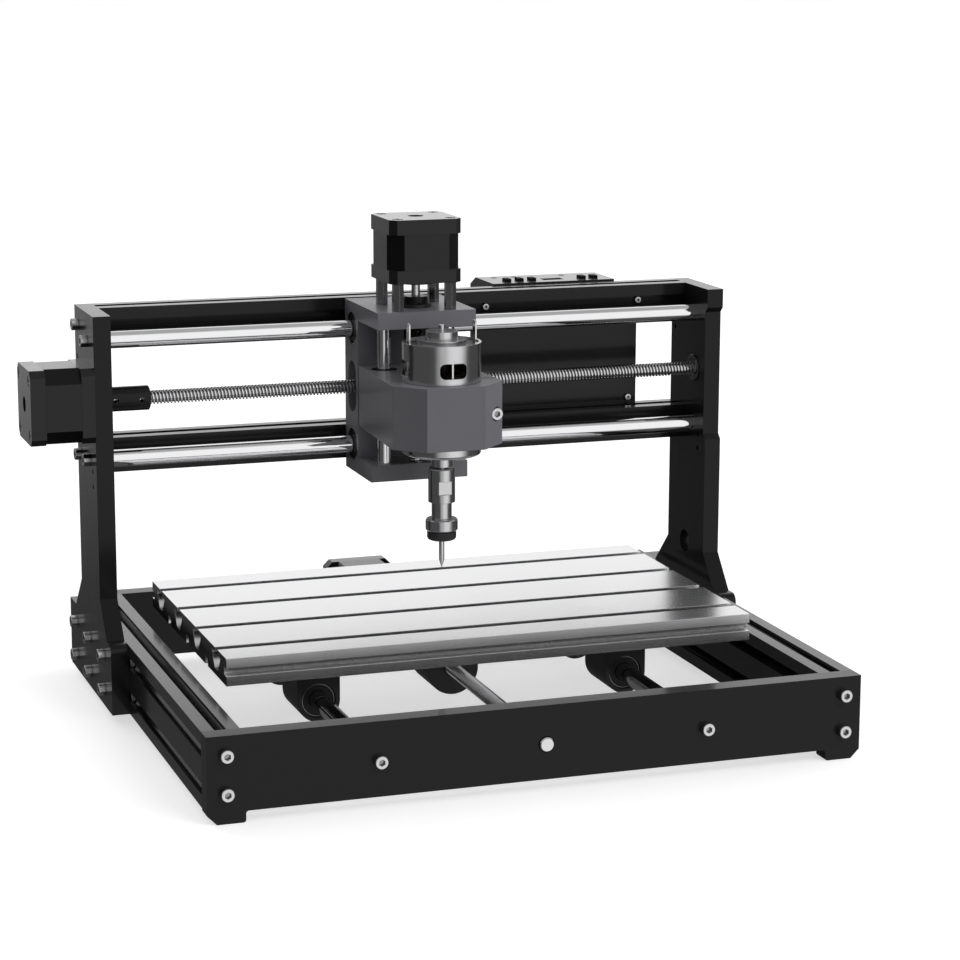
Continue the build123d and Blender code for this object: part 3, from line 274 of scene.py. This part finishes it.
# Settings that several finishes share.
PROFILE = dict(color=(0.01, 0.01, 0.0105), roughness=0.3, specular=0.06, grain=3000, depth=0.01,
               recess_shade=(3, 0.1))
STACK = dict(color=(0.013, 0.013, 0.0135), roughness=0.34, specular=0.12, coat=0.9,
             facing_shade=SHADED_CORNERS)
STEEL = dict(metallic=1, roughness=0.2)
# In the finishes below, hollows and some faces are darkened as painted shade.
looks = {
    "black_plate": dict(color=(0.009, 0.009, 0.0095), roughness=0.34, specular=0.06, grain=1800,
                        depth=0.01, coat=0.8),
    "black_profile": dict(PROFILE, stretch=DRAWN_Y, edge=0.2, coat=1),
    "beam_profile": dict(PROFILE, stretch=DRAWN_X, edge=0.08, coat=0.9),
    "fastener_steel": dict(STEEL, color=(0.66, 0.66, 0.67), edge=0.3, recess_shade=(2.5, 0.06)),
    "dark_steel": dict(STEEL, color=(0.42, 0.42, 0.43), edge=0.2, recess_shade=(2, 0.2)),
    "polished_rod": dict(color=(0.86, 0.86, 0.87), metallic=1, roughness=0.07, spread=0.4,
                         mottle=0.02, depth=0.0005, edge=0),
    "screw_steel": dict(color=(0.72, 0.72, 0.73), metallic=1, roughness=0.16, depth=0.01,
                        edge=0.1, recess_shade=(1.2, 0.25)),
    # Darker steel on the thread roots: painted shade in the roots.
    "thread_root_shade": dict(color=(0.18, 0.18, 0.185), metallic=1, roughness=0.3, edge=0.1),
    "bearing_steel": dict(color=(0.16, 0.16, 0.165), metallic=1, roughness=0.22, edge=0.2,
                          recess_shade=(1, 0.3)),
    "bush_black": dict(color=(0.015, 0.015, 0.015), roughness=0.45),
    "motor_stack": dict(STACK, lines=("Z", 0.5)),
    "motor_stack_x": dict(STACK, lines=("X", 0.5)),
    "motor_stack_y": dict(STACK, lines=("Y", 0.5)),
    "motor_cap": dict(color=(0.014, 0.014, 0.0145), roughness=0.3, specular=0.1, grain=1500,
                      coat=1, edge=0.5),
    "motor_shaft": dict(color=(0.62, 0.62, 0.63), metallic=1, roughness=0.18),
    "coupling_black": dict(color=(0.007, 0.007, 0.0075), roughness=0.3, specular=0.22,
                           grain=3500, depth=0.004, edge=0.4),
    "table_aluminium": dict(color=(0.86, 0.86, 0.87), metallic=1, roughness=0.26, spread=0.06,
                            stretch=BRUSHED_X, grain=1600, depth=0.0003, mottle=0.02, edge=0.3,
                            facing_shade=SHADED_TABLE_ENDS, recess_shade=(12, 0.12)),
    "slider_black": dict(color=(0.012, 0.012, 0.0125), roughness=0.3, specular=0.2, edge=0.5),
    "brass": dict(color=(0.72, 0.5, 0.2), metallic=1, roughness=0.25, edge=0.3),
    "carriage_grey": dict(color=(0.16, 0.16, 0.174), roughness=0.38, specular=0.2, grain=2200,
                          depth=0.01, edge=0.45, coat=0.15),
    "can_steel": dict(STEEL, color=(0.62, 0.62, 0.63), stretch=DRAWN_Z, grain=900, depth=0.01,
                      edge=0.25, mottle=0.12, recess_shade=(2, 0.3)),
    "end_bell_steel": dict(STEEL, color=(0.62, 0.62, 0.63), edge=0.4, recess_shade=(2, 0.3)),
    "terminal_metal": dict(color=(0.74, 0.73, 0.7), metallic=1, roughness=0.22, edge=0.1),
    "chuck_steel": dict(STEEL, color=(0.6, 0.6, 0.61), stretch=TURNED, depth=0.006, edge=0.25,
                        recess_shade=(2, 0.3)),
    "collet_steel": dict(STEEL, color=(0.55, 0.55, 0.56), edge=0.15),
    "collet_nut_steel": dict(color=(0.07, 0.07, 0.074), metallic=0.9, roughness=0.36,
                             stretch=TURNED, edge=0.3),
    "bit_steel": dict(color=(0.7, 0.7, 0.71), metallic=1, roughness=0.14, edge=0.05),
    "box_black": dict(color=(0.012, 0.012, 0.0125), roughness=0.3, specular=0.1, grain=2200,
                      depth=0.01, coat=1),
    "board": dict(color=(0.004, 0.004, 0.004), roughness=0.55, specular=0.08),
    # Copper darkened almost to black as painted shade inside the spindle can.
    "copper_in_shade": dict(color=(0.01, 0.006, 0.005), metallic=0.3, roughness=0.45, specular=0.2),
    "seal_rubber": dict(color=(0.01, 0.01, 0.01), roughness=0.5, specular=0.3, grain=3000,
                        depth=0.03),
}
finishes = {name: finish(name, **look) for name, look in looks.items()}
# Parts whose finish isn't that of their material slot.
by_node = {
    "top_beam": "beam_profile",
    "bottom_beam": "beam_profile",
    "x_motor_stator": "motor_stack_x",
    "y_motor_stator": "motor_stack_y",
    "z_standoffs": "dark_steel",
}


def paint_frame():
    """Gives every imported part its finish."""
    for part in frame["record"]["subparts"]:
        node = frame["nodes"][part["node"]]
        node.data.materials.clear()
        node.data.materials.append(finishes[by_node.get(part["node"], part["material_slot"])])


paint_frame()


# ------------------------------------------------------------------ mesh helpers
SHARP_EDGE = math.radians(32)
BLOCK_CUT = 0.1 * MM
ROD_STEPS = 96
LOOP_SIDES = 10
THREAD_STEPS = 36


def turn_to(direction):
    """Rotation that carries +Z to a direction."""
    return direction.to_track_quat("Z", "Y").to_matrix().to_4x4()


def sharpen(mesh):
    """Smooth shading with sharp edges where faces meet at a wide angle."""
    for face in mesh.faces:
        face.smooth = True
    for edge in mesh.edges:
        edge.smooth = len(edge.link_faces) == 2 and edge.calc_face_angle(0) < SHARP_EDGE


def make_piece(name, mesh, body, paints, stands_for=()):
    """Turns a bmesh in the row frame into a piece that rides on a body."""
    bmesh.ops.recalc_face_normals(mesh, faces=mesh.faces)
    sharpen(mesh)
    data = bpy.data.meshes.new(name)
    mesh.to_mesh(data)
    mesh.free()
    for paint in paints:
        data.materials.append(finishes[paint])
    piece = bpy.data.objects.new(name, data)
    bpy.context.scene.collection.objects.link(piece)
    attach(piece, body)
    if stands_for:
        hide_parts(*stands_for)


def add_lathe(mesh, profile, start, direction, steps=64, ripple=None):
    """Adds a closed ring turned about an axis.

    The profile holds (radius, height, paint) corners, and paint is the index used on the stretch
    that follows. Ripple is a function of corner index and angle that is taken off the radius."""
    turn = Matrix.Translation(start) @ turn_to(direction)
    rings = []
    for step in range(steps):
        angle = 2 * math.pi * step / steps
        ring = []
        for index, (radius, height, paint) in enumerate(profile):
            reach = radius - (ripple(index, angle) if ripple else 0)
            point = Vector((reach * math.cos(angle), reach * math.sin(angle), height))
            ring.append(mesh.verts.new(turn @ point))
        rings.append(ring)
    count = len(profile)
    for step in range(steps):
        here = rings[step]
        there = rings[(step + 1) % steps]
        for index in range(count):
            after = (index + 1) % count
            face = mesh.faces.new((here[index], here[after], there[after], there[index]))
            face.material_index = profile[index][2]


def add_rod(mesh, profile, start, direction):
    """Adds a solid turned shape, with (radius, height) corners from one end to the other."""
    turn = Matrix.Translation(start) @ turn_to(direction)
    rings = []
    for radius, height in profile:
        ring = []
        for step in range(ROD_STEPS):
            angle = 2 * math.pi * step / ROD_STEPS
            point = Vector((radius * math.cos(angle), radius * math.sin(angle), height))
            ring.append(mesh.verts.new(turn @ point))
        rings.append(ring)
    for lower, upper in zip(rings, rings[1:]):
        for step in range(ROD_STEPS):
            after = (step + 1) % ROD_STEPS
            mesh.faces.new((lower[step], lower[after], upper[after], upper[step]))
    mesh.faces.new(rings[0][::-1])
    mesh.faces.new(rings[-1])


def add_loop(mesh, points, radius):
    """Adds a closed round tube along a ring of points."""
    rings = []
    count = len(points)
    for index, point in enumerate(points):
        along = (points[(index + 1) % count] - points[index - 1]).normalized()
        across = along.cross(Z).normalized()
        up = across.cross(along)
        ring = []
        for side in range(LOOP_SIDES):
            angle = 2 * math.pi * side / LOOP_SIDES
            offset = radius * (math.cos(angle) * across + math.sin(angle) * up)
            ring.append(mesh.verts.new(point + offset))
        rings.append(ring)
    for index in range(count):
        for side in range(LOOP_SIDES):
            after = (side + 1) % LOOP_SIDES
            here = rings[index]
            there = rings[(index + 1) % count]
            mesh.faces.new((here[side], here[after], there[after], there[side]))


def add_block(mesh, corner, opposite):
    """Adds a box with cut edges between two opposite corners."""
    low = Vector(map(min, corner, opposite))
    high = Vector(map(max, corner, opposite))
    size = high - low
    middle = (high + low) / 2
    made = bmesh.ops.create_cube(mesh, size=1)
    bmesh.ops.transform(mesh, verts=made["verts"],
                        matrix=Matrix.Translation(middle) @ Matrix.Diagonal((*size, 1)))
    edges = {edge for vert in made["verts"] for edge in vert.link_edges}
    bmesh.ops.bevel(mesh, geom=list(edges), offset=BLOCK_CUT, segments=2, affect="EDGES")


def node_box(node):
    """Lowest corner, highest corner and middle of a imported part."""
    low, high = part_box(node)
    return low, high, (low + high) / 2


# ------------------------------------------------------------------ lead screws
SCREW_PITCH = 2 * MM
SCREW_STARTS = 2
# A thread's depth and where its crest, first flank and root end, as shares of the pitch.
THREAD_DEPTH = 0.45
CREST_END = 0.366
FLANK_END = 0.5
ROOT_END = 0.866


def add_thread(mesh, radius, start, direction, length):
    """Adds a trapezoidal thread of the given outer radius. It is made with spare turns at both
    ends and cut off square."""
    pitch = SCREW_PITCH
    steps = THREAD_STEPS
    root = radius - THREAD_DEPTH * pitch
    corners = [(0, radius), (CREST_END * pitch, radius),
               (FLANK_END * pitch, root), (ROOT_END * pitch, root)]
    root_corner = 2
    lead = pitch * SCREW_STARTS
    spare = 2 * SCREW_STARTS
    rows = []
    for turn in range(-spare, math.ceil(length / pitch) + spare):
        for offset, reach in corners:
            row = []
            for step in range(steps):
                angle = 2 * math.pi * step / steps
                height = turn * pitch + offset + lead * step / steps
                point = (reach * math.cos(angle), reach * math.sin(angle), height)
                row.append(mesh.verts.new(point))
            rows.append(row)
    shift = len(corners) * SCREW_STARTS
    for index in range(len(rows) - shift - 1):
        for step in range(steps):
            if step < steps - 1:
                lower = (rows[index][step], rows[index][step + 1])
                upper = (rows[index + 1][step + 1], rows[index + 1][step])
            else:
                lower = (rows[index][step], rows[index + shift][0])
                upper = (rows[index + 1 + shift][0], rows[index + 1][step])
            face = mesh.faces.new((*lower, *upper))
            # Root faces take the second, darker finish, painted shade in the thread roots.
            face.material_index = 1 if index % len(corners) == root_corner else 0
    for height, way in ((0, -1), (length, 1)):
        geometry = mesh.verts[:] + mesh.edges[:] + mesh.faces[:]
        cut = bmesh.ops.bisect_plane(mesh, geom=geometry, plane_co=(0, 0, height),
                                     plane_no=(0, 0, way), clear_outer=True)
        border = [item for item in cut["geom_cut"] if isinstance(item, bmesh.types.BMEdge)]
        bmesh.ops.contextual_create(mesh, geom=border)
    loose = [vert for vert in mesh.verts if not vert.link_faces]
    bmesh.ops.delete(mesh, geom=loose, context="VERTS")
    turn = Matrix.Translation(start) @ turn_to(direction)
    bmesh.ops.transform(mesh, verts=mesh.verts, matrix=turn)


def lead_screw(axis, direction, journal=0.0):
    """Threaded lead screw in place of the plain packed one. The direction leads away from its
    motor, and a plain journal of the given length carries its far end."""
    node = axis + "_lead_screw"
    low, high, middle = node_box(node)
    length = abs((high - low).dot(direction))
    radius = min(high - low) / 2
    start = middle - direction * length / 2
    mesh = bmesh.new()
    add_thread(mesh, radius, start, direction, length - journal)
    if journal:
        chamfer = 0.6 * MM
        profile = [(radius, length - journal - chamfer), (radius, length - chamfer),
                   (radius - chamfer, length)]
        add_rod(mesh, profile, start, direction)
    make_piece(axis + "_screw_thread", mesh, axis + "_screw",
               ["screw_steel", "thread_root_shade"], [node])


lead_screw("x", X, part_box("x_lead_screw")[1][0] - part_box("right_upright")[0][0])
lead_screw("y", -Y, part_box("front_plate")[1][1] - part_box("y_lead_screw")[0][1])
lead_screw("z", -Z)


# ------------------------------------------------------------------ guide rods
def guide_rods(node, body, direction, across=None):
    """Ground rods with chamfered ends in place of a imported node: one rod, or one at each side of
    the node's box."""
    low, high, middle = node_box(node)
    length = (high - low).dot(direction)
    radius = min(high - low) / 2
    chamfer = 0.5 * MM
    profile = [(radius - chamfer, 0), (radius, chamfer),
               (radius, length - chamfer), (radius - chamfer, length)]
    offsets = [Vector((0, 0, 0))]
    if across:
        reach = ((high - low).dot(across) / 2 - radius) * across
        offsets = [-reach, reach]
    mesh = bmesh.new()
    for offset in offsets:
        add_rod(mesh, profile, middle + offset - direction * length / 2, direction)
    make_piece(node + "_ground", mesh, body, ["polished_rod"], [node])


guide_rods("x_rod_top", "base", X)
guide_rods("x_rod_bottom", "base", X)
guide_rods("y_rod_left", "base", Y)
guide_rods("y_rod_right", "base", Y)
guide_rods("z_rods", "x_carriage", Z, X)


# ------------------------------------------------------------------ bearings
# Outer radius, bore radius and length of each axis's linear bearings.
BEARING_SIZES = {
    "x": (9.5 * MM, 5 * MM, 28.5 * MM),
    "y": (9.5 * MM, 5 * MM, 29 * MM),
    "z": (7.5 * MM, 4 * MM, 24 * MM),
}
BEARING_PAINTS = ["bearing_steel", "seal_rubber"]


def bearing_profile(outer, inner, length):
    """Closed profile of a linear bearing: steel shell with two ring grooves and sunk seals."""
    lip = outer - 0.7 * MM
    seal = inner + 0.15 * MM
    sunk = 0.6 * MM
    chamfer = 0.3 * MM
    groove = 1.1 * MM
    floor = outer - 0.4 * MM
    first = 0.1 * length
    last = 0.9 * length
    return [
        (lip, 0, 0), (outer - chamfer, 0, 0), (outer, chamfer, 0),
        (outer, first, 0), (floor, first, 0), (floor, first + groove, 0),
        (outer, first + groove, 0), (outer, last - groove, 0), (floor, last - groove, 0),
        (floor, last, 0), (outer, last, 0),
        (outer, length - chamfer, 0), (outer - chamfer, length, 0), (lip, length, 0),
        (lip, length - sunk, 1), (seal, length - sunk, 1), (seal, sunk, 1), (lip, sunk, 0),
    ]


def linear_bearings(axis, body, direction, across, rows):
    """One or two rows of linear bearings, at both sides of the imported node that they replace."""
    node = axis + "_linear_bearings"
    outer, bore, length = BEARING_SIZES[axis]
    low, high, middle = node_box(node)
    normal = direction.cross(across)
    profile = bearing_profile(outer, bore, length)
    mesh = bmesh.new()
    for side in (low.dot(across) + outer, high.dot(across) - outer):
        for foot in (low.dot(direction), high.dot(direction) - length)[:rows]:
            start = foot * direction + side * across + middle.dot(normal) * normal
            add_lathe(mesh, profile, start, direction)
    make_piece(axis + "_bearing_shells", mesh, body, BEARING_PAINTS, [node])


def screw_end_bearings():
    """Flanged ball bearings at the far ends of the X and Y lead screws, with sunk seals."""
    node = "screw_end_bearings"
    low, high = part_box(node)
    _, _, x_screw = node_box("x_lead_screw")
    _, _, y_screw = node_box("y_lead_screw")
    length = 7 * MM
    bore = 4.1 * MM
    body = 6.5 * MM
    flange = 8 * MM
    flange_start = length - 1 * MM
    chamfer = 0.2 * MM
    sunk = length - 0.5 * MM
    profile = [
        (bore, 0, 0), (body, 0, 0), (body, flange_start, 0), (flange, flange_start, 0),
        (flange, length - chamfer, 0), (flange - chamfer, length, 0),
        (body - 0.7 * MM, length, 0), (body - 0.9 * MM, sunk, 1),
        (bore + 1.3 * MM, sunk, 0), (bore + 1.1 * MM, length, 0), (bore, length, 0),
    ]
    mesh = bmesh.new()
    add_lathe(mesh, profile, Vector((high.x, x_screw.y, x_screw.z)), -X)
    add_lathe(mesh, profile, Vector((y_screw.x, low.y, y_screw.z)), Y)
    make_piece("end_bearing_rings", mesh, "base", BEARING_PAINTS, [node])


linear_bearings("y", "table", Y, X, 2)
linear_bearings("x", "x_carriage", X, Z, 2)
linear_bearings("z", "z_head", Z, X, 1)
screw_end_bearings()


# ------------------------------------------------------------------ spindle
can_low, _, can_middle = node_box("spindle_can")
spindle_axis = Vector((can_middle.x, can_middle.y, 0))


def collet_nut():
    """Collet nut with a fluted grip in place of the plain packed one."""
    low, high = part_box("collet_nut")
    collar = (high.x - low.x) / 2
    grip = collar - 0.85 * MM
    step = high.z - 6.7 * MM
    chamfer = 0.6 * MM
    nose = 1.6 * MM
    nose_corner = 0.5 * MM
    mouth = 3.1 * MM
    mouth_top = low.z + 0.7 * MM
    seat = 4.56 * MM
    seat_start = low.z + 3.7 * MM
    inner = 5.75 * MM
    profile = [
        (mouth, low.z, 1), (grip - nose, low.z, 1),
        (grip - nose_corner, low.z + nose_corner, 1), (grip, low.z + nose, 1),
        (grip, step - 0.8 * MM, 1), (grip - chamfer, step - 0.4 * MM, 1),
        (grip - chamfer, step, 0), (collar - chamfer, step, 0), (collar, step + chamfer, 0),
        (collar, high.z - chamfer, 0), (collar - chamfer, high.z, 0), (inner, high.z, 0),
        (inner, step + chamfer, 0), (seat, step + chamfer, 0),
        (seat, seat_start, 0), (mouth, mouth_top, 0),
    ]
    flutes = 48
    flute_depth = 0.22 * MM
    fluted_corners = (3, 4)

    def flute(index, angle):
        """Depth taken off the grip's radius at an angle."""
        if index not in fluted_corners:
            return 0
        return flute_depth * (0.5 - 0.5 * math.cos(flutes * angle))

    mesh = bmesh.new()
    add_lathe(mesh, profile, spindle_axis, Z, steps=8 * flutes, ripple=flute)
    make_piece("collet_nut_grip", mesh, "spindle_rotor",
               ["chuck_steel", "collet_nut_steel"], ["collet_nut"])


def armature_windings():
    """End turns and a ribbed commutator, seen through the can's windows, their copper darkened
    almost to black as painted shade inside the can.
    """
    poles = 5
    loop_points = 28
    loop_middle = 12.2 * MM
    loop_reach = 4.4 * MM
    loop_spread = 0.52
    wire_radius = 2.0 * MM
    base = can_low.z + 49 * MM
    loop_height = base + 2.6 * MM
    mesh = bmesh.new()
    for pole in range(poles):
        middle = 2 * math.pi * pole / poles
        loop = []
        for index in range(loop_points):
            share = 2 * math.pi * index / loop_points
            reach = loop_middle + loop_reach * math.cos(share)
            angle = middle + loop_spread * math.sin(share)
            loop.append(Vector((reach * math.cos(angle), reach * math.sin(angle), loop_height)))
        add_loop(mesh, [spindle_axis + point for point in loop], wire_radius)

    inner = 6.02 * MM
    outer = 6.9 * MM
    low = base + 1 * MM
    high = base + 11 * MM
    profile = [(inner, low, 0), (outer, low, 0), (outer, high, 0), (inner, high, 0)]
    bars = 15
    slot_depth = 0.5 * MM
    slot_cosine = 0.9
    outer_corners = (1, 2)

    def rib(index, angle):
        """Depth of the slots between the commutator's bars."""
        in_slot = index in outer_corners and math.cos(bars * angle) > slot_cosine
        return slot_depth if in_slot else 0

    add_lathe(mesh, profile, spindle_axis, Z, steps=12 * bars, ripple=rib)
    make_piece("armature_windings", mesh, "spindle_rotor", ["copper_in_shade"])


def brush_arms():
    """Upright spring arms of the brush gear behind the middle of each window."""
    low = can_low.z + 50 * MM
    high = can_low.z + 66 * MM
    reach = 19.6 * MM
    half_thickness = 0.3 * MM
    half_width = 0.5 * MM
    windows = 4
    mesh = bmesh.new()
    for window in range(windows):
        angle = 2 * math.pi * window / windows
        out = Vector((math.cos(angle), math.sin(angle), 0))
        side = Vector((-out.y, out.x, 0))
        middle = spindle_axis + out * reach
        half = out * half_thickness + side * half_width
        corner = middle - half
        opposite = middle + half
        corner.z = low
        opposite.z = high
        add_block(mesh, corner, opposite)
    make_piece("brush_arms", mesh, "z_head", ["terminal_metal"])


collet_nut()
armature_windings()
brush_arms()


# ------------------------------------------------------------------ motors
def plug_pins(axis, body, outward, along):
    """Row of contact pins in a motor's plug housing."""
    pins = 6
    spacing = 2 * MM
    inset = 2.2 * MM
    row_inset = 4.75 * MM
    half_length = 1.7 * MM
    half_width = 0.3 * MM
    low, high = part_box(axis + "_motor_end_caps")
    reach = max(corner.dot(outward) for corner in (low, high))
    far = max(corner.dot(along) for corner in (low, high))
    across = outward.cross(along)
    _, _, stator_middle = node_box(axis + "_motor_stator")
    row_middle = stator_middle.dot(across)
    half = outward * half_length + along * half_width + across * half_width
    mesh = bmesh.new()
    for index in range(pins):
        spot = outward * (reach - inset) + along * (far - row_inset)
        spot += across * (row_middle + (index - (pins - 1) / 2) * spacing)
        add_block(mesh, spot - half, spot + half)
    make_piece(axis + "_plug_pins", mesh, body, ["terminal_metal"])


plug_pins("x", "base", Y, -X)
plug_pins("y", "base", X, Y)
plug_pins("z", "x_carriage", Y, Z)


# ------------------------------------------------------------------ stage
FLOOR_REACH = 12
FLOOR_GREY = 0.6
FLOOR_GLOW = 0.6
FLOOR_ROUGHNESS = 0.9
# Level directions from the machine, and the spans of the dot product with them over which each
# light rises at its sides. The backdrop stands opposite the camera, and the softbox with its
# brighter core stands in front of the machine, to the right of the camera.
BACKDROP_AIM = (0.3265, 0.945, 0)
BACKDROP_SIDES = (0.7, 0.96)
SOFTBOX_AIM = (0.242, -0.97, 0)
SOFTBOX_SIDES = (0.55, 0.88)
SOFTBOX_LIGHT = 0.6
CORE_AIM = (0.375, -0.927, 0)
CORE_SIDES = (0.86, 0.99)
CORE_LIGHT = 0.4
# Spans of height, from -1 below to 1 above, over which each light rises.
BACKDROP_FOOT = (-0.32, 0.05)
SOFTBOX_FOOT = (-0.66, -0.34)
OVERHEAD_RISE = (0.7, 0.92)
OVERHEAD_DIP = 0.6
WALL_FOOT = (0.05, 0.3)
WALL_LIGHT = 0.42
LEAST_LIGHT = 0.08


def make_floor():
    """Plain pale floor, left out of reflections and of bounced light."""
    mesh = bpy.data.meshes.new("floor")
    reach = FLOOR_REACH
    corners = [(-reach, -reach, 0), (reach, -reach, 0), (reach, reach, 0), (-reach, reach, 0)]
    mesh.from_pydata(corners, [], [(0, 1, 2, 3)])
    floor = bpy.data.objects.new("floor", mesh)
    material = bpy.data.materials.new("floor")
    material.use_nodes = True
    shader = material.node_tree.nodes["Principled BSDF"]
    shader.inputs["Base Color"].default_value = (FLOOR_GREY, FLOOR_GREY, FLOOR_GREY, 1)
    shader.inputs["Roughness"].default_value = FLOOR_ROUGHNESS
    shader.inputs["Emission Color"].default_value = (1, 1, 1, 1)
    shader.inputs["Emission Strength"].default_value = FLOOR_GLOW
    mesh.materials.append(material)
    bpy.context.scene.collection.objects.link(floor)
    floor.visible_glossy = False
    floor.visible_diffuse = False


def make_light(name, source, softness, strength):
    """Distant soft light from a direction, left out of reflections."""
    data = bpy.data.lights.new(name, "SUN")
    data.angle = math.radians(softness)
    data.energy = strength
    light = bpy.data.objects.new(name, data)
    light.visible_glossy = False
    light.rotation_euler = Vector(source).to_track_quat("Z", "Y").to_euler()
    bpy.context.scene.collection.objects.link(light)


def glow(tree, value, span, strength=1.0):
    """Brightness that rises smoothly from 0 to a strength while a value crosses a span."""
    return ramp(tree, value, span, (0.0, strength), "SMOOTHSTEP")


def make_world():
    """Studio surroundings, set by direction and height so that the polished and coated faces
    reflect what they do in the photograph.

    A white backdrop fades out below the horizon. A tall softbox reaches further down. Both dip
    towards the zenith, where a weaker light above the horizon takes over all around. The camera
    itself sees plain white."""
    world = bpy.data.worlds.new("studio")
    world.use_nodes = True
    tree = world.node_tree
    direction = add_node(tree, "ShaderNodeTexCoord").outputs["Generated"]
    flat = add_node(tree, "ShaderNodeVectorMath", operation="MULTIPLY")
    feed(tree, flat.inputs[0], direction)
    feed(tree, flat.inputs[1], (1, 1, 0))
    level = add_node(tree, "ShaderNodeVectorMath", operation="NORMALIZE")
    feed(tree, level.inputs[0], flat.outputs["Vector"])
    around = level.outputs["Vector"]
    height = dot(tree, direction, (0, 0, 1))

    backdrop = compute(tree, "MULTIPLY",
                       glow(tree, dot(tree, around, BACKDROP_AIM), BACKDROP_SIDES),
                       glow(tree, height, BACKDROP_FOOT))
    softbox = compute(tree, "ADD",
                      glow(tree, dot(tree, around, SOFTBOX_AIM), SOFTBOX_SIDES, SOFTBOX_LIGHT),
                      glow(tree, dot(tree, around, CORE_AIM), CORE_SIDES, CORE_LIGHT))
    softbox = compute(tree, "MULTIPLY", softbox, glow(tree, height, SOFTBOX_FOOT))
    overhead = glow(tree, height, OVERHEAD_RISE, OVERHEAD_DIP)
    panels = compute(tree, "SUBTRACT", compute(tree, "MAXIMUM", backdrop, softbox), overhead)
    walls = glow(tree, height, WALL_FOOT, WALL_LIGHT)
    light = compute(tree, "MAXIMUM", compute(tree, "MAXIMUM", panels, walls), LEAST_LIGHT)
    camera_ray = add_node(tree, "ShaderNodeLightPath").outputs["Is Camera Ray"]
    shown = compute(tree, "MAXIMUM", light, camera_ray)
    feed(tree, tree.nodes["Background"].inputs["Color"], shown)
    bpy.context.scene.world = world
    bpy.context.scene.view_settings.view_transform = "Standard"


make_floor()
make_light("key", (0.5, -0.9, 0.8), softness=30, strength=0.9)
make_light("right_fill", (0.9, 0.2, 0.35), softness=40, strength=1.3)
make_light("back_fill", (-0.3, 0.9, 0.4), softness=40, strength=1.3)
make_world()
